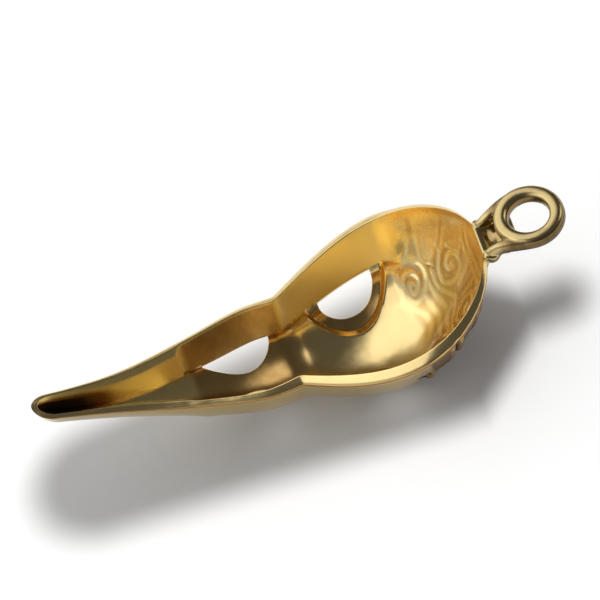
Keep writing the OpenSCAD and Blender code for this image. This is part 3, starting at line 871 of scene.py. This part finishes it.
class CHARM_OT_skull(bpy.types.Operator):
    """Model the hollow skull with its beak, openings and scrollwork."""

    bl_idname = "charm.skull"
    bl_label = "Skull casting"

    def execute(self, context):
        finish = context.scene.charm_finish
        skull = Skull(context.scene.charm_sizes)
        sheets = []
        for name, (points, tone, gold, seam) in (("skull_walls", skull.wall), ("skull_belly", skull.belly)):
            sheets.append(sheet(name, points, tone, gold))
            delete_faces(sheets[-1], seam_faces(points, seam, skull.seams))
        piece = join(sheets, "skull_casting")
        edit_all((bpy.ops.mesh.remove_doubles, {"threshold": SKULL_WELD}))
        apply_modifier(piece, "MIRROR", use_axis=(False, True, False), merge_threshold=KEEL_WELD)
        edit_all(
            (bpy.ops.mesh.dissolve_degenerate, {"threshold": SLIVER}),
            (bpy.ops.mesh.normals_make_consistent, {"inside": False}))
        close_end()
        to_frame(piece)
        plating = gold_plate("polished gold plate", finish, finish.gold, finish.gold_deep, finish.brown)
        finish_piece(
            piece, "gold_plate", plating, "beak", "nose_bridge", "nostril_wall_left", "nostril_wall_right",
            "brow_wall_left", "brow_wall_right", "eye_socket_left", "eye_socket_right", "crown",
            "scroll_panel_left", "scroll_panel_right")
        return {"FINISHED"}


# The ring's middle circle and half the width of its metal
RING_MID, RING_HALF = (RING_D + HOLE_D) / 4, (RING_D - HOLE_D) / 4
# A rail's half width and half height where it leaves the rim, and along the neck
ROOT_HALF_W, RAIL_HALF_W, ROOT_HALF_H, RAIL_HALF_H = 0.16, 0.37, 0.25, 0.52
# By millimetres behind the neck's start: a rail's distance from the middle, its height, the collar's radius
# over its beads, and the height of the pit's floor
RAIL_LINE = [(0.12, 1.66), (0.55, 1.5), (1.3, 1.62), (2.6, 1.95)]
RAIL_RISE = [(-0.2, NECK_RISE - 1.1), (0, NECK_RISE - 0.72), (0.6, 2.6), (1.4, 2.95), (2.6, 3.15)]
COLLAR_BEADS = [
    (-0.1, 2.0), (0.1, 2.12), (0.55, 2.25), (1.0, 2.1), (1.25, 1.84), (1.5, 1.86), (1.9, 1.95), (2.3, 1.85),
    (2.7, 1.5), (3.0, 1.0)]
PIT_FLOOR = [(-0.1, 0.0), (0.05, 0.0), (0.3, -0.08), (0.8, -0.32), (1.4, -0.38), (2.0, -0.1), (3.0, 0.2)]
# The dark groove between the beads, behind the neck's start, with its half width
BEAD_GROOVE, BEAD_GROOVE_W = 1.32, 0.3
COLLAR_SQUASH, COLLAR_DROP = 0.93, 0.1
NECK_VOXEL, PIT_ROUGH, RING_DROOP = 0.07, 0.07, 0.045


def rounded_section():
    """A round section with a flattened top, as shares of its half width and half height."""
    flatness = 0.75
    turn = np.linspace(0, 2 * np.pi, 33)
    c, s = np.cos(turn), np.sin(turn)
    return np.sign(c) * np.abs(c)**flatness, np.sign(s) * np.abs(s)**flatness


def ring_rows():
    """Rows of the hanging ring."""
    turns = np.linspace(0, 2 * np.pi, 97)
    across, up = rounded_section()
    r = RING_MID + RING_HALF * across[None, :]
    return np.stack([X_RING + r * np.cos(turns)[:, None], r * np.sin(turns)[:, None],
                     RING_RISE + RING_T / 2 * up[None, :] + 0 * turns[:, None]], -1)


def rail_rows():
    """Rows of a rail that leaves the rim, runs along the neck and joins the ring at its side."""
    rim_x = X_NECK - np.array([0.2, 0.08])
    rim = np.stack([rim_x, half_width(rim_x) - [0.82, 0.66]], -1)
    turns = np.radians(np.linspace(104, 40, 8))
    ring = np.stack([X_RING + RING_MID * np.cos(turns), RING_MID * np.sin(turns)], -1)
    path = spline(np.vstack([rim, [(X_NECK + along, aside) for along, aside in RAIL_LINE], ring]), 12)
    x = path[:, 0]
    rise = [(X_NECK + along, height) for along, height in RAIL_RISE] + [(X_RING, RING_RISE)]
    z = curve(rise, np.minimum(x, X_RING))
    way = np.gradient(path, axis=0)
    way /= np.linalg.norm(way, axis=1, keepdims=True)
    side = np.stack([-way[:, 1], way[:, 0]], -1)
    root = smooth(X_NECK - 0.25, X_NECK + 0.35, x)
    half_w = mix(mix(ROOT_HALF_W, RAIL_HALF_W, root), RING_HALF, smooth(X_NECK + 0.8, X_RING - 0.3, x))
    half_h = mix(mix(ROOT_HALF_H, RAIL_HALF_H, root), RING_T / 2, smooth(X_NECK, X_RING - 1, x))
    across, up = rounded_section()
    rows = np.zeros((len(path), len(across), 3))
    rows[..., :2] = path[:, None] + side[:, None] * (half_w[:, None] * across)[..., None]
    rows[..., 2] = z[:, None] + half_h[:, None] * up
    return rows


def collar_rows():
    """Rows of the beaded collar under the neck, with the pit's floor as its top."""
    x = np.linspace(COLLAR_BEADS[0][0], COLLAR_BEADS[-1][0], 60)
    r = curve(COLLAR_BEADS, x)
    floor = np.interp(x, *zip(*PIT_FLOOR))[:, None]
    turn = np.radians(np.linspace(-200, 20, 48))
    rows = np.zeros((len(x), len(turn) + 1, 3))
    y = r[:, None] * np.cos(turn)
    z = np.minimum(r[:, None] * np.sin(turn), floor)
    rows[:, :-1, 0] = X_NECK + x[:, None]
    rows[:, :-1, 1] = y * COLLAR_SQUASH
    rows[:, :-1, 2] = NECK_RISE - COLLAR_DROP + z
    rows[:, -1] = rows[:, 0]
    return rows


def capped(rows):
    """Rows closed by a point at each end."""
    first, last = rows[:1].mean(1, keepdims=True), rows[-1:].mean(1, keepdims=True)
    return np.concatenate([first.repeat(rows.shape[1], 1), rows, last.repeat(rows.shape[1], 1)])


def pit_share(points):
    """How much of the rough pit between the rails each point has."""
    along, aside, z = points[:, 0] - X_NECK, np.abs(points[:, 1]), points[:, 2]
    lengthwise = smooth(0.3, 0.8, along) * (1 - smooth(1.4, 2.1, along))
    under_rails = 1 - smooth(NECK_RISE - 0.45, NECK_RISE - 0.1, z)
    over_beads = smooth(NECK_RISE - 1.5, NECK_RISE - 1.1, z)
    return lengthwise * (1 - smooth(0.8, 1.4, aside)) * under_rails * over_beads


def settle_neck(points, pit):
    """Leave the pit between the rails rough, and let the ring droop a little."""
    x, y = points[:, 0], points[:, 1]
    points[:, 2] += PIT_ROUGH * pit * (np.sin(3.1 * x + 1.9 * y) + 0.6 * np.sin(4 * y - 2 * x + 1))
    past = x - X_RING + 1.5
    points[:, 2] -= RING_DROOP * (past + np.sqrt(past**2 + 2) - 0.3)


def neck_tones(points, pit):
    """Tones of the neck and ring, darker between the beads and in the pit, with painted shade on the ring's sides and
    in its bore.
    """
    x, y, z = points.T
    outside = smooth(1.5, 1.75, np.hypot(y, z - NECK_RISE)) * (1 - smooth(NECK_RISE - 0.5, NECK_RISE - 0.15, z))
    beads = outside * ridge(x - X_NECK - BEAD_GROOVE, BEAD_GROOVE_W)
    mottled = pit * (0.5 + 0.2 * np.sin(4 * x) * np.sin(3 * y + 1))
    away = np.hypot(x - X_RING, y)
    # Painted shade: the ring's outer side and its bore are darkened
    side = RING_SIDE_TONE * smooth(RING_D / 2 - 0.3, RING_D / 2, away)
    bore = RING_BORE_TONE * (1 - smooth(HOLE_D / 2, HOLE_D / 2 + 0.2, away))
    flank = smooth(X_NECK + 0.8, X_NECK + 2.4, x) * np.maximum(side, bore)
    return np.maximum.reduce([np.full(len(points), NECK_TONE), beads, mottled, NECK_TONE + flank])


class CHARM_OT_neck(bpy.types.Operator):
    """Model the beaded neck whose rails run on into the hanging ring."""

    bl_idname = "charm.neck"
    bl_label = "Neck and ring"

    def execute(self, context):
        finish = context.scene.charm_finish
        rail = capped(rail_rows())
        solids = []
        for name, rows in (("rail_right", rail), ("rail_left", rail * [1, -1, 1]), ("collar", capped(collar_rows())),
                           ("ring", ring_rows())):
            solids.append(sheet(name, rows))
            edit_all(
                (bpy.ops.mesh.remove_doubles, {"threshold": NECK_WELD}),
                (bpy.ops.mesh.normals_make_consistent, {"inside": False}))
        piece = join(solids, "neck_ring")
        apply_modifier(piece, "REMESH", mode="VOXEL", voxel_size=NECK_VOXEL, use_smooth_shade=True)
        apply_modifier(piece, "SMOOTH", factor=0.5, iterations=4)
        points = np.zeros(len(piece.data.vertices) * 3)
        piece.data.vertices.foreach_get("co", points)
        points = points.reshape(-1, 3)
        pit = pit_share(points)
        settle_neck(points, pit)
        piece.data.vertices.foreach_set("co", points.reshape(-1))
        tone = piece.data.attributes.get("antique_and_shade") or piece.data.attributes.new("antique_and_shade", "FLOAT", "POINT")
        tone.data.foreach_set("value", neck_tones(points, pit))
        to_frame(piece)
        plating = gold_plate("dull gold neck", finish, finish.neck, finish.neck, finish.neck_worn_and_shaded)
        finish_piece(piece, "gold_plate", plating, "neck_collar", "hanging_ring")
        return {"FINISHED"}


# The studio: lights as strength, direction and the angles at which each starts and ends to fade
DOME_LIGHT = 0.09
SOFTBOXES = [
    (1.35, (-0.42, 0.55, 0.72), 27, 43), (0.5, (-0.88, -0.32, 0.34), 20, 60), (1.3, (0.86, 0.28, 0.4), 7, 18)]
LAMP_WAY, LAMP_SIZE, LAMP_POWER = (-0.162, -0.09, 0.31), 0.24, 0.128
# The camera's right and up, its distance in metres, and in millimetres its aim, across and up in its own
# view from a point just under the brow crease, and the width that it sees
VIEW_RIGHT, VIEW_UP = Vector((0.9292, -0.2742, -0.2478)), Vector((0.3672, 0.7609, 0.5349))
VIEW_FAR, VIEW_AIM, VIEW_DROP, VIEW_W = 0.48, (0.998, 3.128), 0.25, 48.09
SENSOR_W = 36
FLOOR_GAP = 0.00002


def white_paper(low, high):
    """White paper that glows to the eye, and less so round the object: a painted shadow on top of the object's real
    shadow.
    """
    paper = bpy.data.materials.new("white paper")
    tree = Tree(paper)
    place = tree.place()
    grain = tree.node("ShaderNodeTexNoise", None, {"Vector": place, "Scale": 900.0, "Detail": 3.0})
    tone = tree.colour_mix(grain, (0.5, 0.5, 0.5), (0.53, 0.53, 0.53))
    # Camera, glossy and transmission rays see the glow
    camera, glossy, through = (tree.node("ShaderNodeLightPath", output=i) for i in (0, 3, 6))
    eye = (camera + glossy + through).math("MINIMUM", 1.0)
    # The painted shadow runs along the object and narrows to the tip and to the neck
    along, aside = (tree.node("ShaderNodeSeparateXYZ", None, [place], i) for i in (0, 1))
    aside = aside + 0.0015
    past = along - along.math("MAXIMUM", low[0] + 0.002).math("MINIMUM", high[0] - 0.003)
    beak = tree.ramp(along, low[0], -0.012, 0.0055, high[1], "LINEAR")
    neck = tree.ramp(along, -0.009, -0.003, high[1], 0.0025, "LINEAR")
    away = (past * past + aside * aside).power(0.5) - beak.math("MINIMUM", neck)
    # Painted shadow: near the object the glow falls to a tenth
    clear = tree.ramp(away, -0.0025, 0.002, 0.07, 0.7)
    shader = tree.node("ShaderNodeBsdfPrincipled", None, {
        "Base Color": tone, "Roughness": 0.9, "Emission Color": clear * eye, "Emission Strength": 1.0})
    tree.node("ShaderNodeOutputMaterial", None, [shader])
    return paper


def studio_world():
    """A dim dome with soft lights, and a pale band low down."""
    world = bpy.data.worlds.new("studio")
    tree = Tree(world)
    way = tree.node("ShaderNodeTexCoord", output=0)
    east, height = (tree.node("ShaderNodeSeparateXYZ", None, [way], i) for i in (0, 2))
    dome = DOME_LIGHT
    for strength, way_to, inner, outer in SOFTBOXES:
        share = tree.node("ShaderNodeVectorMath", {"operation": "DOT_PRODUCT"}, [way, Vector(way_to).normalized()], 1)
        dome = dome + strength * tree.ramp(share, math.cos(math.radians(outer)), math.cos(math.radians(inner)))
    low_band = tree.ramp(height, 0.0, 0.25, 1.0, 0.0)
    glow = dome + (tree.ramp(east, -0.6, 0.3, 0.8, 0.2) - dome) * low_band
    tree.node("ShaderNodeOutputWorld", None, [
        tree.node("ShaderNodeBackground", None, {"Color": glow, "Strength": 1.0})])
    return world


def photo_camera():
    """A camera at the photograph's viewing angle."""
    back = VIEW_RIGHT.cross(VIEW_UP).normalized()
    up = back.cross(VIEW_RIGHT).normalized()
    aim = (VIEW_RIGHT * VIEW_AIM[0] + up * VIEW_AIM[1]) * MM - Vector((X_RING, 0, RING_RISE + VIEW_DROP)) * MM
    camera = bpy.data.objects.new("camera", bpy.data.cameras.new("camera"))
    turned = Matrix((VIEW_RIGHT, up, back)).transposed().to_4x4()
    camera.matrix_world = Matrix.Translation(aim + back * VIEW_FAR) @ turned
    camera.data.sensor_width = SENSOR_W
    camera.data.lens = SENSOR_W * VIEW_FAR / (VIEW_W * MM)
    camera.data.clip_start = 0.01
    return camera


def overhead_lamp(centre):
    """A round soft lamp that faces the middle of the object."""
    lamp = bpy.data.lights.new("overhead softbox", "AREA")
    lamp.shape, lamp.size, lamp.energy = "DISK", LAMP_SIZE, LAMP_POWER
    holder = bpy.data.objects.new("overhead softbox", lamp)
    way = Vector(LAMP_WAY)
    holder.location = centre + way
    holder.rotation_euler = (-way).to_track_quat("-Z", "Y").to_euler()
    return holder


class CHARM_OT_stage(bpy.types.Operator):
    """Set the floor, the soft lights and the camera."""

    bl_idname = "charm.stage"
    bl_label = "Stage"

    def execute(self, context):
        scene = context.scene
        scene.view_settings.view_transform = "Standard"
        low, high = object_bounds()
        deselect()
        bpy.ops.mesh.primitive_plane_add(size=4, location=(0, 0, low[2] - FLOOR_GAP))
        floor = context.object
        floor.name = "floor"
        floor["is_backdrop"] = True
        floor.data.materials.append(white_paper(low, high))
        scene.world = studio_world()
        scene.camera = photo_camera()
        lamp = overhead_lamp((Vector(low) + Vector(high)) / 2)
        for thing in (scene.camera, lamp):
            scene.collection.objects.link(thing)
        return {"FINISHED"}


class CHARM_PT_panel(bpy.types.Panel):
    """Lists the charm's pieces and settings."""

    bl_label = "Bird skull charm"
    bl_idname = "CHARM_PT_panel"
    bl_space_type = "VIEW_3D"
    bl_region_type = "UI"
    bl_category = "Charm"

    def draw(self, context):
        for group in (context.scene.charm_sizes, context.scene.charm_finish):
            for key in group.__annotations__:
                self.layout.prop(group, key)
        for operator in (CHARM_OT_skull, CHARM_OT_neck, CHARM_OT_stage):
            self.layout.operator(operator.bl_idname)


CLASSES = (CharmSizes, CharmFinish, CHARM_OT_skull, CHARM_OT_neck, CHARM_OT_stage, CHARM_PT_panel)


def register():
    for cls in CLASSES:
        bpy.utils.register_class(cls)
    bpy.types.Scene.charm_sizes = bpy.props.PointerProperty(type=CharmSizes)
    bpy.types.Scene.charm_finish = bpy.props.PointerProperty(type=CharmFinish)


def unregister():
    del bpy.types.Scene.charm_finish
    del bpy.types.Scene.charm_sizes
    for cls in reversed(CLASSES):
        bpy.utils.unregister_class(cls)


def main():
    register()
    bpy.ops.charm.skull()
    bpy.ops.charm.neck()
    bpy.ops.charm.stage()


if __name__ == "__main__":
    main()
